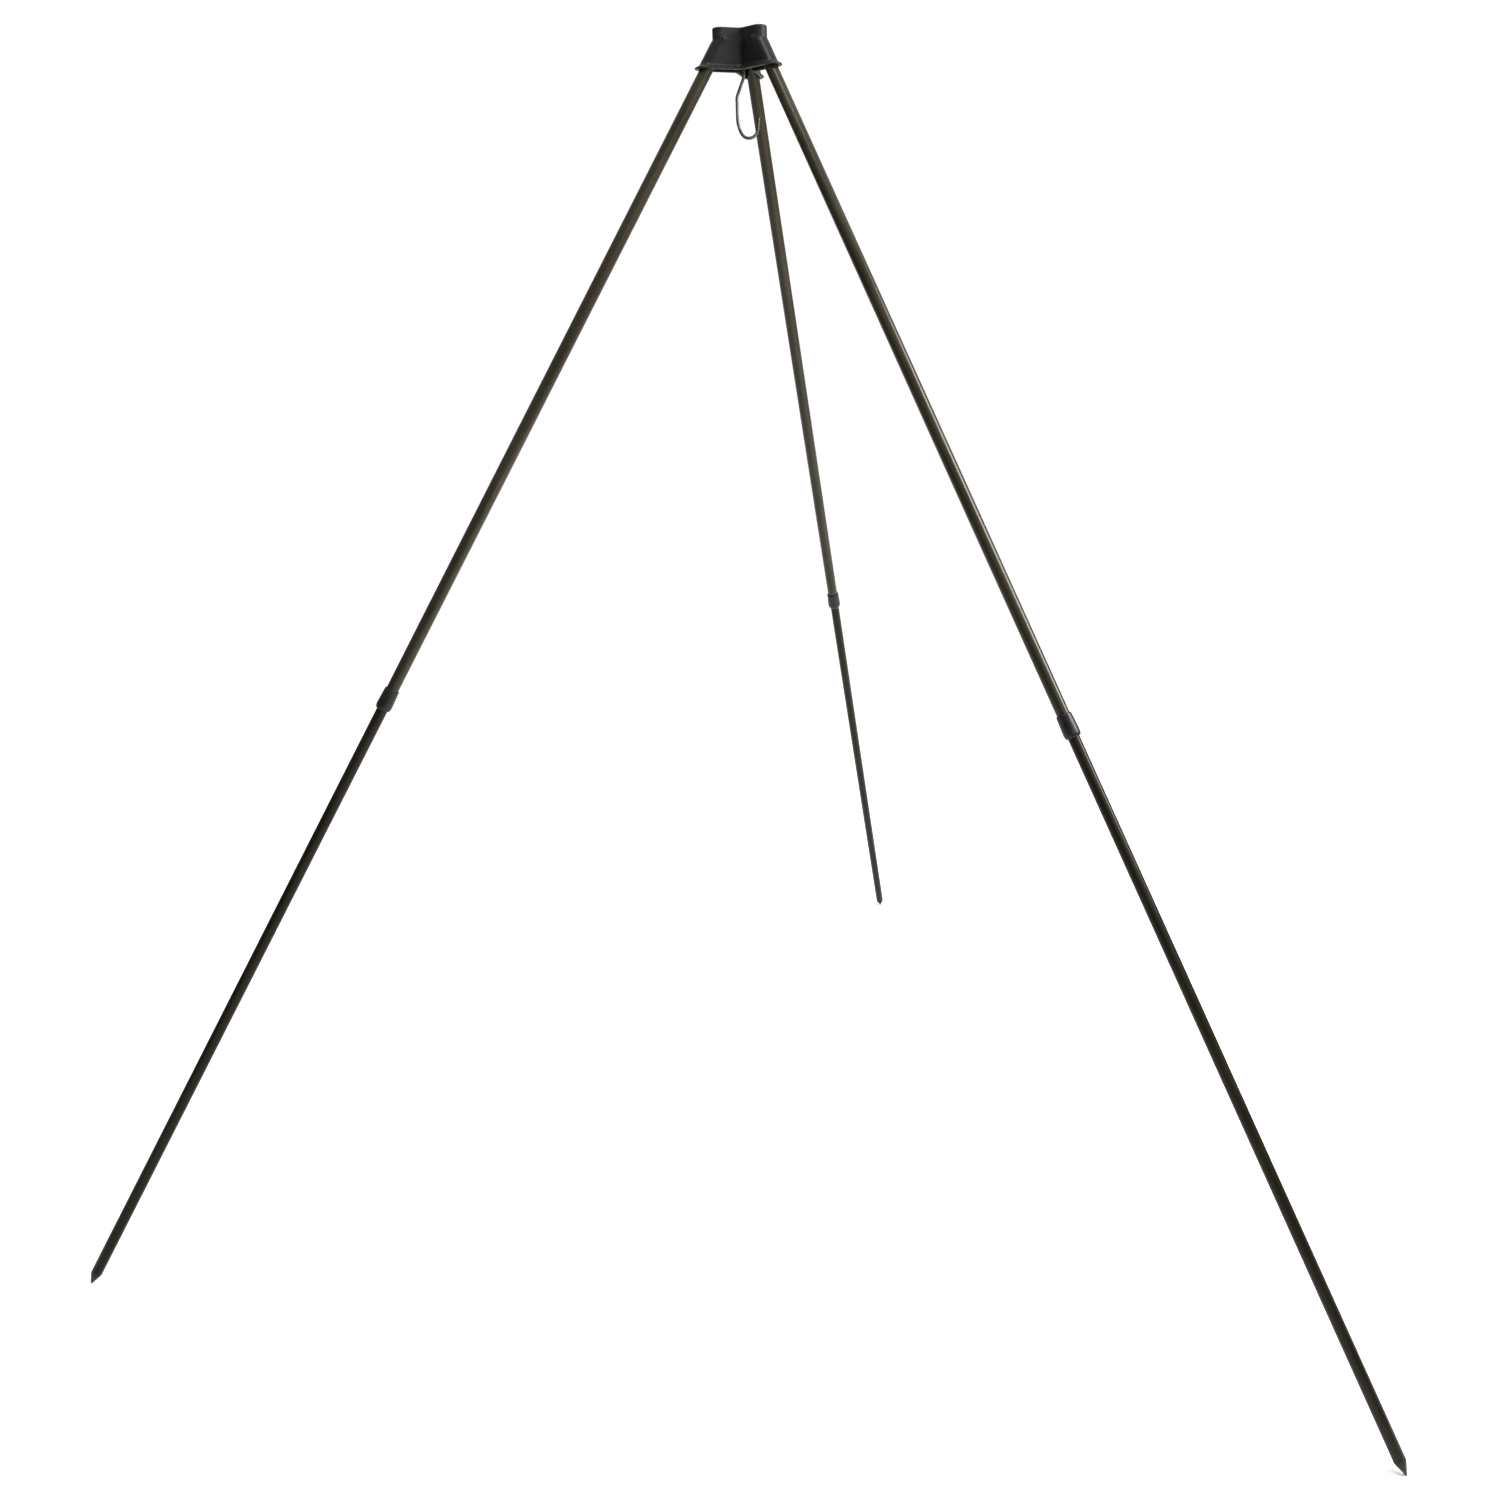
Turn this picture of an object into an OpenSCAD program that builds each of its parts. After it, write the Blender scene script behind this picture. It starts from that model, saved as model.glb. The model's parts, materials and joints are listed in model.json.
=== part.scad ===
// Telescopic campfire tripod: a three-lobed folding head, two-section legs and a pot hook.
// Millimetres, +Z up. The origin is on the tripod's axis, on the ground under the head.
// The three leg axes meet at one point above the head, and depths are measured down from it.

/* [Stance] */
// Distance along a leg from the meeting point of the leg axes to the end of its spike
leg_reach = 2562; // [2300:1:2800]
// Angle of an open leg from the vertical, in degrees
splay = 30; // [28:0.5:32]
// Distance along a leg from the meeting point to the middle of its lock collar
collar_at = 1375; // [1250:1:1500]
// Distance along a leg from the meeting point to its pivot pin
pivot_at = 76; // [74:1:78]

/* [Tubes] */
// Outer diameter of an upper tube
upper_od = 22; // [21.8:0.1:22.2]
// Outer diameter of a lower tube
lower_od = 19.8; // [19.6:0.1:19.8]
// Wall thickness of both tubes
tube_wall = 0.8; // [0.7:0.05:0.8]
// Length of lower tube that stays inside the upper one when the leg is open
overlap = 70; // [50:1:120]

/* [Head] */
// Depth of the head's flat top
head_top = 46; // [45:0.5:47]
// Depth where the upright band meets the sloping skirt
crease = 66.5; // [64:0.5:69]
// Depth of the head's open lower edge
rim = 116; // [112:1:122]
// Thickness of the head's walls
head_wall = 2.2; // [2:0.1:2.6]
// Gap between a leg tube and the inside of its lobe
lobe_gap = 1.0; // [0.8:0.1:1.2]
// How far the lip at the lower edge stands out
lip_out = 4.8; // [2:0.1:6]
// Height of the lip
lip_h = 6; // [3:0.5:8]

/* [Pivots] */
// Diameter of a leg's pivot rivet
pin_d = 6; // [5:0.5:7]
// Diameter of a rivet's domed heads
pin_head_d = 9; // [8:0.5:10]
// Height of a rivet's domed heads
pin_head_h = 2.4; // [1.5:0.1:3]
// Diameter of the flat boss under a rivet's head
boss_d = 14; // [12:0.5:16]

/* [Lock collar] */
// Length of a collar
collar_len = 40; // [38:1:44]
// Widest diameter of a collar
collar_od = 28.4; // [28:0.1:30]
// Diameter of a collar at its upper shoulder
collar_top_od = 26; // [26:0.1:27]
// Outer diameter of the threaded ferrule inside a collar
ferrule_od = 23.8; // [23.6:0.1:23.9]

/* [Spike] */
// Length of a spike below its tube
spike_len = 26; // [24:1:34]
// Half the angle of a spike's cone, in degrees
spike_angle = 23; // [20:0.5:25]
// Radius of a spike's blunted end
spike_end_r = 1.5; // [1:0.1:2]

/* [Hook] */
// Thickness of the hook's bent rod
hook_wire = 5.5; // [5:0.1:6]
// Radius of the hook's bowl, to the middle of the rod
bowl_r = 16; // [14:0.5:20]
// Depth of the bowl's centre
bowl_at = 212; // [200:1:220]
// Radius of the long curve between the shank and the bowl
flank_r = 57; // [45:1:70]
// Angle that the long curve turns through, in degrees
flare = 28; // [20:1:32]
// How far the hook's shank is set to one side
shank_offset = 13.7; // [12:0.1:16]
// Angle of the slanted stretch from the vertical, in degrees
slant = 23; // [20:1:28]
// Depth where the rod starts to slant
slant_at = 122.5; // [118:0.5:128]
// Length of the straight tip past the bowl
tip_len = 17.5; // [8:0.5:20]

/* [Hidden] */
$fn = 64;
leg_names = ["back", "left", "right"];
leg_az = [90, 210, 330];
per_leg = ["pivot_pin", "pivot_sleeve", "upper_tube", "lock_ferrule", "lock_collet",
           "lock_collar", "lower_tube", "guide_bush", "foot_spike"];

run_fit = 0.05;                 // radial clearance of a shaft in its bore
loose_fit = 0.3;                // radial clearance between sleeves that don't guide
apex_h = (leg_reach - spike_end_r) * cos(splay) + spike_end_r;
lean = tan(splay);
lobe_in = upper_od / 2 + lobe_gap;
lobe_out = lobe_in + head_wall;
band_reach = crease * lean + 1.6; // from the axis to the centre of a band's nose
crease_lap = 1.5;               // how far the band runs down inside the skirt
skirt_step = 0.4;               // how far the skirt stands out from the band
boss_out = lobe_out + skirt_step + 0.2; // from a lobe's middle plane to the face of its boss
top_wall = 2.5;
upper_r = upper_od / 2;
upper_ri = upper_r - tube_wall;
lower_r = lower_od / 2;
lower_ri = lower_r - tube_wall;
tube_top = pivot_at - 7.5;
collar_top = collar_at - collar_len / 2;
collar_end = collar_top + collar_len;
upper_end = collar_at - 4;
lower_top = collar_at - overlap;
foot_at = leg_reach - spike_len;
sleeve_r = 4;
stud_r = 3;
stud_wire = 5;
link_r = 7;                     // both links' radius, to the middle of the rod
link_play = 0.3;
swing_at = 92;                  // depth of the hook's swing axis
colour_head = [0.11, 0.12, 0.115];
colour_tube = [0.19, 0.18, 0.14];
colour_plastic = [0.09, 0.085, 0.08];
colour_steel = [0.45, 0.45, 0.44];

// Places its children at a leg: the meeting point is at z = 0 and the leg runs down -z
module along_leg(i) {
    translate([0, 0, apex_h]) rotate([0, 0, leg_az[i]]) rotate([0, -splay, 0]) children();
}

// A round solid on a leg's axis, from a list of [radius, distance from the meeting point]
module turned(points) {
    rotate_extrude() polygon([for (p = points) [p[0], -p[1]]]);
}

// A tube on a leg's axis
module leg_tube(r_out, r_in, from, to) {
    translate([0, 0, -to]) difference() {
        cylinder(r = r_out, h = to - from);
        translate([0, 0, -1]) cylinder(r = r_in, h = to - from + 2);
    }
}

// A shallow dome on the XY plane
module dome(d, h) {
    ball_r = (d * d / 4 + h * h) / (2 * h);
    intersection() {
        translate([0, 0, h - ball_r]) sphere(r = ball_r);
        cylinder(d = d, h = h);
    }
}

// The outline of a lobe across its own length: a round nose and straight sides
module lobe_outline(r, nose_at) {
    translate([nose_at, 0]) circle(r = r);
    translate([nose_at - 2 * rim, -r]) square([2 * rim, 2 * r]);
}

// The part of its children on the lobe's side of the axis, between two depths
module lobe_part(from, to) {
    intersection() {
        children();
        translate([0, -2 * rim, -to]) cube([4 * rim, 4 * rim, to - from]);
    }
}

// One lobe: an upright band down to the crease, and a skirt that slopes along the leg
module lobe(r, top, bottom) {
    lobe_part(top, crease + crease_lap) translate([0, 0, -2 * rim])
        linear_extrude(3 * rim) lobe_outline(r, band_reach);
    lobe_part(crease, bottom) skirt(r + skirt_step);
}

module skirt(r) {
    rotate([0, -splay, 0]) translate([0, 0, -2 * rim]) linear_extrude(2 * rim) lobe_outline(r, 0);
}

// Lays its children's z axis along a leg's pivot
module across_pivot() {
    rotate([0, -splay, 0]) translate([0, 0, -pivot_at]) rotate([90, 0, 0]) children();
}

module head_shell() {
    color(colour_head) translate([0, 0, apex_h]) difference() {
        for (az = leg_az) rotate([0, 0, az]) {
            lobe(lobe_out, head_top, rim);
            lobe_part(rim - lip_h, rim) skirt(lobe_out + skirt_step + lip_out);
            across_pivot() cylinder(d = boss_d, h = 2 * boss_out, center = true);
        }
        for (az = leg_az) rotate([0, 0, az]) lobe(lobe_in, head_top + top_wall, rim + 1);
        for (az = leg_az) rotate([0, 0, az])
            across_pivot() cylinder(d = pin_d, h = 3 * lobe_out, center = true);
        translate([0, 0, -head_top - 2 * top_wall]) cylinder(r = stud_r + run_fit, h = 3 * top_wall);
    }
}

module pivot_pin(i) {
    color(colour_head) along_leg(i) translate([0, 0, -pivot_at]) {
        rotate([90, 0, 0]) cylinder(d = pin_d, h = 2 * boss_out, center = true);
        for (side = [-1, 1]) rotate([-90 * side, 0, 0])
            translate([0, 0, boss_out]) dome(pin_head_d, pin_head_h);
    }
}

module pivot_sleeve(i) {
    sleeve_len = 2 * lobe_in - 0.4;
    color(colour_steel) along_leg(i) translate([0, 0, -pivot_at]) rotate([90, 0, 0])
        difference() {
            cylinder(r = sleeve_r, h = sleeve_len, center = true);
            cylinder(r = pin_d / 2 + run_fit, h = sleeve_len + 1, center = true);
        }
}

module upper_tube(i) {
    color(colour_tube) along_leg(i) difference() {
        leg_tube(upper_r, upper_ri, tube_top, upper_end);
        translate([0, 0, -pivot_at]) rotate([90, 0, 0])
            cylinder(r = sleeve_r, h = 2 * upper_od, center = true);
    }
}

// Threaded ferrule on the upper tube's end, with a lip that keeps the guide bush in
module lock_ferrule(i) {
    r = ferrule_od / 2;
    lip_end = upper_end + 3;
    color(colour_plastic) along_leg(i) turned([
        [upper_r, collar_top + 5], [r, collar_top + 5], [r, lip_end],
        [lower_r + run_fit, lip_end], [lower_r + run_fit, upper_end], [upper_r, upper_end]]);
}

// Slotted ring that the collar squeezes onto the lower tube
module lock_collet(i) {
    from = upper_end + 3;
    r_in = lower_r + run_fit;
    color(colour_plastic) along_leg(i) difference() {
        turned([[r_in, from], [r_in + 1.7, from], [r_in + 1.7, from + 9],
                [r_in + 0.6, from + 14], [r_in, from + 14]]);
        for (a = [0, 90]) rotate([0, 0, a])
            translate([0, 0, -from - 10]) cube([2 * upper_od, 1.2, 10], center = true);
    }
}

// Barrel-shaped nut that turns on the ferrule
module lock_collar(i) {
    r_bore = ferrule_od / 2 + run_fit;
    r_wide = collar_od / 2;
    r_tail = lower_r + loose_fit;
    tail_wall = 0.9;
    taper_len = 9;
    taper_from = collar_end - taper_len;
    color(colour_plastic) along_leg(i) turned(concat(
        [[upper_r + loose_fit, collar_top], [collar_top_od / 2 - 0.9, collar_top],
         [collar_top_od / 2, collar_top + 1.6]],
        [for (a = [0 : 15 : 90]) [r_tail + tail_wall + (r_wide - r_tail - tail_wall) * cos(a),
                                  taper_from + taper_len * sin(a)]],
        [[r_tail, collar_end], [r_tail, collar_end - 4], [r_bore, collar_end - 11],
         [r_bore, collar_top + 4], [upper_r + loose_fit, collar_top + 4]]));
}

module lower_tube(i) {
    color(colour_tube) along_leg(i) leg_tube(lower_r, lower_ri, lower_top, foot_at);
}

// Cap and glide sleeve on the lower tube's upper end, inside the upper tube
module guide_bush(i) {
    r = upper_ri - run_fit;
    cap = 4;
    plug = 12;
    sleeve_end = upper_end - 1;
    color(colour_plastic) along_leg(i) turned([
        [0, lower_top - cap], [r - 0.6, lower_top - cap], [r, lower_top - cap + 0.6],
        [r, sleeve_end], [lower_r, sleeve_end], [lower_r, lower_top], [lower_ri, lower_top],
        [lower_ri, lower_top + plug], [lower_ri - 1.5, lower_top + plug],
        [lower_ri - 1.5, lower_top], [0, lower_top]]);
}

// Turned spike: a tenon in the tube, a rounded shoulder, a cone and a blunt end
module foot_spike(i) {
    tenon = 20;
    ball_at = leg_reach - spike_end_r;
    cone_end = [spike_end_r * cos(spike_angle), ball_at + spike_end_r * sin(spike_angle)];
    neck_r = lower_r - 1.6;
    neck_at = cone_end[1] - (neck_r - cone_end[0]) / tan(spike_angle);
    shoulder = neck_at - foot_at;
    color(colour_head) along_leg(i) {
        turned(concat(
            [[0, foot_at - tenon], [lower_ri, foot_at - tenon], [lower_ri, foot_at]],
            [for (t = [0 : 0.2 : 1]) [lower_r - (lower_r - neck_r) * pow(t, 2),
                                      foot_at + shoulder * t]],
            [cone_end, [0, cone_end[1]]]));
        translate([0, 0, -ball_at]) sphere(r = spike_end_r);
    }
}

// Eye stud that turns in the head's top: button, shank and a link in the YZ plane
module swivel_stud() {
    washer_top = head_top - 1;
    link_centre = swing_at - link_r;
    color(colour_steel) translate([0, 0, apex_h]) {
        translate([0, 0, -washer_top]) dome(14, 2.2);
        translate([0, 0, -link_centre + link_r]) cylinder(r = stud_r, h = link_centre - link_r - washer_top);
        translate([0, 0, -link_centre]) rotate([0, 90, 0])
            rotate_extrude() translate([link_r, 0]) circle(d = stud_wire);
    }
}

module swivel_washer() {
    color(colour_plastic) translate([0, 0, apex_h - head_top + 0.2]) difference() {
        cylinder(r = 8, h = 0.8);
        translate([0, 0, -1]) cylinder(r = stud_r, h = 3);
    }
}

module swivel_nut() {
    color(colour_steel) translate([0, 0, apex_h - head_top - top_wall - 5.2]) difference() {
        cylinder(r = 5.8, h = 5, $fn = 6);
        translate([0, 0, -1]) cylinder(r = stud_r, h = 7);
    }
}

function polar(centre, r, a) = centre + r * [cos(a), sin(a)];

// Points along an arc in the [x, z] plane, without its first point
function arc(centre, r, from, to, steps) =
    [for (k = [1 : steps]) polar(centre, r, from + (to - from) * k / steps)];

// A domed end: [centre, radius] pairs that close the rod off beyond a point
function dome_rings(at, along) = [for (a = [30, 60, 80])
    [at + along * hook_wire / 2 * sin(a), hook_wire / 2 * cos(a)]];

// A round rod swept along [centre, radius] pairs in the XZ plane
module swept_rod(rings, sides = 20) {
    last = len(rings) - 1;
    function along(i) = let(d = rings[min(i + 1, last)][0] - rings[max(i - 1, 0)][0]) d / norm(d);
    function ring(i) = let(t = along(i), c = rings[i][0], r = rings[i][1])
        [for (k = [0 : sides - 1]) let(a = 360 * k / sides)
            [c[0] - t[1] * r * cos(a), r * sin(a), c[1] + t[0] * r * cos(a)]];
    polyhedron(
        points = [for (i = [0 : last]) each ring(i)],
        faces = concat(
            [[for (k = [0 : sides - 1]) k]],
            [for (i = [0 : last - 1], k = [0 : sides - 1]) let(n = (k + 1) % sides, b = i * sides)
                [b + k, b + sides + k, b + sides + n, b + n]],
            [[for (k = [sides - 1 : -1 : 0]) last * sides + k]]));
}

// Hook: an eye bent round the stud's link, a slanted neck, a straight shank, a bowl and a tip
module hook() {
    bend_r = 15;
    eye = [0, -swing_at - (link_r - hook_wire / 2 - stud_wire / 2 - link_play)];
    eye_end = -50;
    throat_r = 4;
    throat = eye - [throat_r, sqrt(link_r * link_r + 2 * link_r * throat_r)];
    throat_a = acos(throat_r / (link_r + throat_r));
    neck = [-bend_r, -slant_at];
    slant_run = (shank_offset - 2 * bend_r * (1 - cos(slant))) / sin(slant);
    heel_start = polar(neck, bend_r, -slant) - slant_run * [sin(slant), cos(slant)];
    heel = polar(heel_start, bend_r, -slant);
    flank_run = flank_r - bowl_r;
    flank = [flank_r - shank_offset, flank_run * sin(flare) - bowl_at];
    bowl = flank - flank_run * [cos(flare), sin(flare)];
    bowl_stop = 353.5;
    tip_way = [-sin(bowl_stop), cos(bowl_stop)];
    tip = polar(bowl, bowl_r, bowl_stop) + tip_len * tip_way;
    line = concat(
        [polar(eye, link_r, eye_end)],
        arc(eye, link_r, eye_end, 180 + throat_a, 20),
        arc(throat, throat_r, throat_a, 0, 4),
        [neck + [bend_r, 0]],
        arc(neck, bend_r, 0, -slant, 3),
        [heel_start],
        arc(heel, bend_r, 180 - slant, 180, 3),
        [[-shank_offset, flank[1]]],
        arc(flank, flank_r, 180, 180 + flare, 8),
        arc(bowl, bowl_r, 180 + flare, bowl_stop, 16),
        [tip]);
    eye_way = [sin(eye_end), -cos(eye_end)];
    start_rings = dome_rings(line[0], eye_way);
    color(colour_steel) translate([0, 0, apex_h]) swept_rod(concat(
        [for (k = [2 : -1 : 0]) start_rings[k]],
        [for (p = line) [p, hook_wire / 2]],
        dome_rings(tip, tip_way)));
}

head_shell();
swivel_stud();
swivel_washer();
swivel_nut();
hook();
for (i = [0 : 2]) {
    leg = leg_names[i];
    pivot_pin(i);
    pivot_sleeve(i);
    upper_tube(i);
    lock_ferrule(i);
    lock_collet(i);
    lock_collar(i);
    lower_tube(i);
    guide_bush(i);
    foot_spike(i);
}
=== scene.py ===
"""Looks of a telescopic campfire tripod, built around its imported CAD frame.

Metres, +Z up, origin on the tripod's axis at ground level. The three leg axes meet at one point,
the apex, above the head. Depths are measured straight down from it, and stations along a leg.
"""

import json
import math

import bmesh
import bpy
import numpy as np
from mathutils import Matrix, Vector


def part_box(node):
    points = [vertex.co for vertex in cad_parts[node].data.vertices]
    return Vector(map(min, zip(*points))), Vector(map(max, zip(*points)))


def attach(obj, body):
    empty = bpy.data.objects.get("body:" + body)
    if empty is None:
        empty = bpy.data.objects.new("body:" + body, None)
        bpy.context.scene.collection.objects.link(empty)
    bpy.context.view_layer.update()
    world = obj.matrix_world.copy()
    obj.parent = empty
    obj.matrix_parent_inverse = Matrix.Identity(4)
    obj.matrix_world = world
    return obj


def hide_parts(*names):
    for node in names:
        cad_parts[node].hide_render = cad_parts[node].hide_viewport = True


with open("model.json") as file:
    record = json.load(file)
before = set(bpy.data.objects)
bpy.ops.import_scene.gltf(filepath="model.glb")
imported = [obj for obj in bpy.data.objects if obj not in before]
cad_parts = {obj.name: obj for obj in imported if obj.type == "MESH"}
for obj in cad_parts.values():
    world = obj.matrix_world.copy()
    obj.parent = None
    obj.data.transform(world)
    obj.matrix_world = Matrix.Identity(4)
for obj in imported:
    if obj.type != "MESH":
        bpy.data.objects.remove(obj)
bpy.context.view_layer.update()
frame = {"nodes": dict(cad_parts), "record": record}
MM = 0.001

# ---- The frame's own sizes -----------------------------------------------------------------

# Azimuths of the legs, and the angle between each leg and the tripod's axis.
LEGS = {"back": 90.0, "left": 210.0, "right": 330.0}
SPLAY = math.radians(30)
HEAD_TOP = 46 * MM
APEX_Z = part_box("head_shell")[1][2] + HEAD_TOP
TOP_PLATE = 2.5 * MM

UPPER_R = 11.0 * MM
UPPER_BORE = 10.2 * MM
UPPER_FROM = 68.5 * MM
UPPER_TO = 1371 * MM
LOWER_R = 9.9 * MM
LOWER_BORE = 9.1 * MM
LOWER_FROM = 1305 * MM
FOOT_AT = 2536 * MM
LEG_END = 2562 * MM
COLLAR_FROM = 1355 * MM
COLLAR_TO = 1395 * MM
PIVOT_AT = 76 * MM
PIN_HOLE_R = 3.05 * MM
STUD_HOLE_R = 3.05 * MM

# How finely round shapes are drawn: points round a tube, a boss and the hook's rod, and points
# added at each rounded corner.
TUBE_SIDES = 64
BOSS_SIDES = 48
ROD_SIDES = 32
CORNER_STEPS = 3

# ---- Camera --------------------------------------------------------------------------------

# The viewpoint of a standing person in front of the tripod, a little to its right.
CAMERA_POS = (0.671, -2.497, 1.636)
CAMERA_YAW = -12.69
CAMERA_PITCH = -11.76
CAMERA_ROLL = -1.19
CAMERA_LENS = 33.15
SENSOR_WIDTH = 36
CAMERA_SHIFT = (-0.0436, -0.081)


def add_camera():
    """A camera with yaw from +Y towards +X, pitch up and roll, in degrees."""
    yaw, pitch, roll = (math.radians(a) for a in (CAMERA_YAW, CAMERA_PITCH, CAMERA_ROLL))
    ahead = Vector((math.sin(yaw), math.cos(yaw), 0))
    forward = ahead * math.cos(pitch) + Vector((0, 0, math.sin(pitch)))
    level = Vector((math.cos(yaw), -math.sin(yaw), 0))
    above = level.cross(forward)
    right = level * math.cos(roll) + above * math.sin(roll)
    up = above * math.cos(roll) - level * math.sin(roll)
    data = bpy.data.cameras.new("camera")
    data.lens = CAMERA_LENS
    data.sensor_width = SENSOR_WIDTH
    data.shift_x, data.shift_y = CAMERA_SHIFT
    camera = bpy.data.objects.new("camera", data)
    bpy.context.scene.collection.objects.link(camera)
    turn = Matrix((right, up, -forward)).transposed()
    camera.matrix_world = Matrix.Translation(CAMERA_POS) @ turn.to_4x4()
    bpy.context.scene.camera = camera


# ---- Material helpers ----------------------------------------------------------------------

# Leg pieces carry their place in the leg's own axes, so that grain and wear follow the tube.
LEG_PLACE = "leg_place"


class Nodes:
    """A small helper that adds shader nodes to one material and links them.

    Patterns are laid out in metres, so a noise's scale is in cells per metre.
    """

    def __init__(self, name, leg_axes=False):
        self.material = bpy.data.materials.new(name)
        self.material.use_nodes = True
        self.tree = self.material.node_tree
        self.shader = self.tree.nodes["Principled BSDF"]
        if leg_axes:
            self.place = self.add("ShaderNodeAttribute", attribute_name=LEG_PLACE).outputs["Vector"]
        else:
            self.place = self.add("ShaderNodeTexCoord").outputs["Object"]

    def add(self, kind, **settings):
        node = self.tree.nodes.new(kind)
        for key, value in settings.items():
            setattr(node, key, value)
        return node

    def link(self, source, target):
        self.tree.links.new(source, target)

    def stretched(self, scale):
        """The place, scaled along each axis. A small scale draws the pattern out."""
        mapping = self.add("ShaderNodeMapping")
        mapping.inputs["Scale"].default_value = scale
        self.link(self.place, mapping.inputs["Vector"])
        return mapping.outputs["Vector"]

    def noise(self, scale, detail=4.0, rough=0.55, stretch=(1, 1, 1)):
        node = self.add("ShaderNodeTexNoise")
        node.inputs["Scale"].default_value = scale
        node.inputs["Detail"].default_value = detail
        node.inputs["Roughness"].default_value = rough
        self.link(self.stretched(stretch), node.inputs["Vector"])
        return node.outputs["Fac"]

    def ramp(self, value, low, high, to_low=0.0, to_high=1.0):
        """An eased step from to_low, where value is low, to to_high, where it is high."""
        node = self.add("ShaderNodeMapRange", interpolation_type="SMOOTHSTEP")
        set_range(node, low, high, to_low, to_high)
        self.link(value, node.inputs["Value"])
        return node.outputs["Result"]

    def math(self, operation, a, b):
        node = self.add("ShaderNodeMath", operation=operation)
        for socket, value in zip(node.inputs, (a, b)):
            if isinstance(value, (int, float)):
                socket.default_value = value
            else:
                self.link(value, socket)
        return node.outputs["Value"]

    def mix(self, factor, a, b):
        """A colour between a and b. Sockets 6 and 7 are the node's two colours."""
        node = self.add("ShaderNodeMix", data_type="RGBA")
        self.link(factor, node.inputs[0])
        for socket, value in ((node.inputs[6], a), (node.inputs[7], b)):
            if isinstance(value, tuple):
                socket.default_value = (*value, 1)
            else:
                self.link(value, socket)
        return node.outputs[2]

    def bump(self, height, strength, distance):
        node = self.add("ShaderNodeBump")
        node.inputs["Strength"].default_value = strength
        node.inputs["Distance"].default_value = distance
        self.link(height, node.inputs["Height"])
        self.link(node.outputs["Normal"], self.shader.inputs["Normal"])

    def height(self):
        """The last of the three coordinates that the material is laid out in."""
        split = self.add("ShaderNodeSeparateXYZ")
        self.link(self.place, split.inputs[0])
        return split.outputs["Z"]


def set_range(node, low, high, to_low, to_high):
    """Sets the limits of a Map Range node."""
    limits = {"From Min": low, "From Max": high, "To Min": to_low, "To Max": to_high}
    for key, number in limits.items():
        node.inputs[key].default_value = number


def shaded(colour, shade):
    """A colour darkened by a shade below 1."""
    return tuple(c * shade for c in colour)


def tube_paint(name, shade, sheen):
    """Dark olive satin coat with faint drawing lines, cloudy patches, specks and fine scratches."""
    n = Nodes(name, leg_axes=True)
    cloud = n.noise(26, 5, 0.6, (1, 1, 0.25))
    dark, light = (0.0115, 0.0096, 0.0042), (0.0190, 0.0162, 0.0080)
    tone = n.mix(n.ramp(cloud, 0.35, 0.68), shaded(dark, shade), shaded(light, shade))
    brown = n.noise(7, 3, 0.5, (1, 1, 0.4))
    rusty = (0.0200, 0.0138, 0.0082)
    tone = n.mix(n.ramp(brown, 0.5, 0.7, 0, 0.55), tone, shaded(rusty, shade))
    speck = n.noise(420, 3, 0.6, (1, 1, 0.5))
    dust = (0.034, 0.030, 0.019)
    tone = n.mix(n.ramp(speck, 0.58, 0.74, 0, 0.3), tone, shaded(dust, shade))
    scratch = n.ramp(n.noise(150, 6, 0.7, (1, 1, 0.03)), 0.66, 0.72, 0, 0.45)
    scratched = (0.055, 0.050, 0.036)
    tone = n.mix(scratch, tone, shaded(scratched, shade))
    n.link(tone, n.shader.inputs["Base Color"])
    rough = n.ramp(cloud, 0.3, 0.7, 0.21, 0.28)
    n.link(n.math("ADD", rough, n.math("MULTIPLY", scratch, 0.25)), n.shader.inputs["Roughness"])
    peel = n.noise(900, 2, 0.5)
    lines = n.noise(240, 2, 0.5, (1, 1, 0.01))
    n.bump(n.math("ADD", peel, n.math("MULTIPLY", lines, 0.6)), 0.12, 0.1 * MM)
    n.shader.inputs["Specular IOR Level"].default_value = sheen
    n.shader.inputs["Specular Tint"].default_value = (1.0, 0.95, 0.87, 1)
    return n.material


def head_coating():
    """Satin black coat, slightly green-grey, duller on the upright band, with a painted highlight on its
    sharp edges, laid in worn patches.
    """
    n = Nodes("head_coating")
    cloud = n.noise(48, 4, 0.6)
    tone = n.mix(n.ramp(cloud, 0.35, 0.7), (0.0022, 0.0026, 0.0024), (0.0046, 0.0052, 0.0048))
    # The paler grey on sharp convex edges, such as the lip and the top's rim, is a painted highlight in
    # worn patches.
    edge = n.add("ShaderNodeNewGeometry").outputs["Pointiness"]
    patch = n.noise(160, 5, 0.65)
    worn = n.math("MULTIPLY", n.ramp(edge, 0.53, 0.60), n.ramp(patch, 0.42, 0.62, 0.1, 0.6))
    tone = n.mix(worn, tone, (0.050, 0.054, 0.051))
    n.link(tone, n.shader.inputs["Base Color"])
    rough = n.ramp(cloud, 0.3, 0.7, 0.33, 0.40)
    dull_band = n.ramp(n.height(), APEX_Z - 71 * MM, APEX_Z - 63 * MM, 0, 0.18)
    n.link(n.math("ADD", rough, dull_band), n.shader.inputs["Roughness"])
    n.bump(n.noise(1300, 2, 0.5), 0.12, 0.1 * MM)
    n.shader.inputs["Specular IOR Level"].default_value = 0.16
    return n.material


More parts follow.
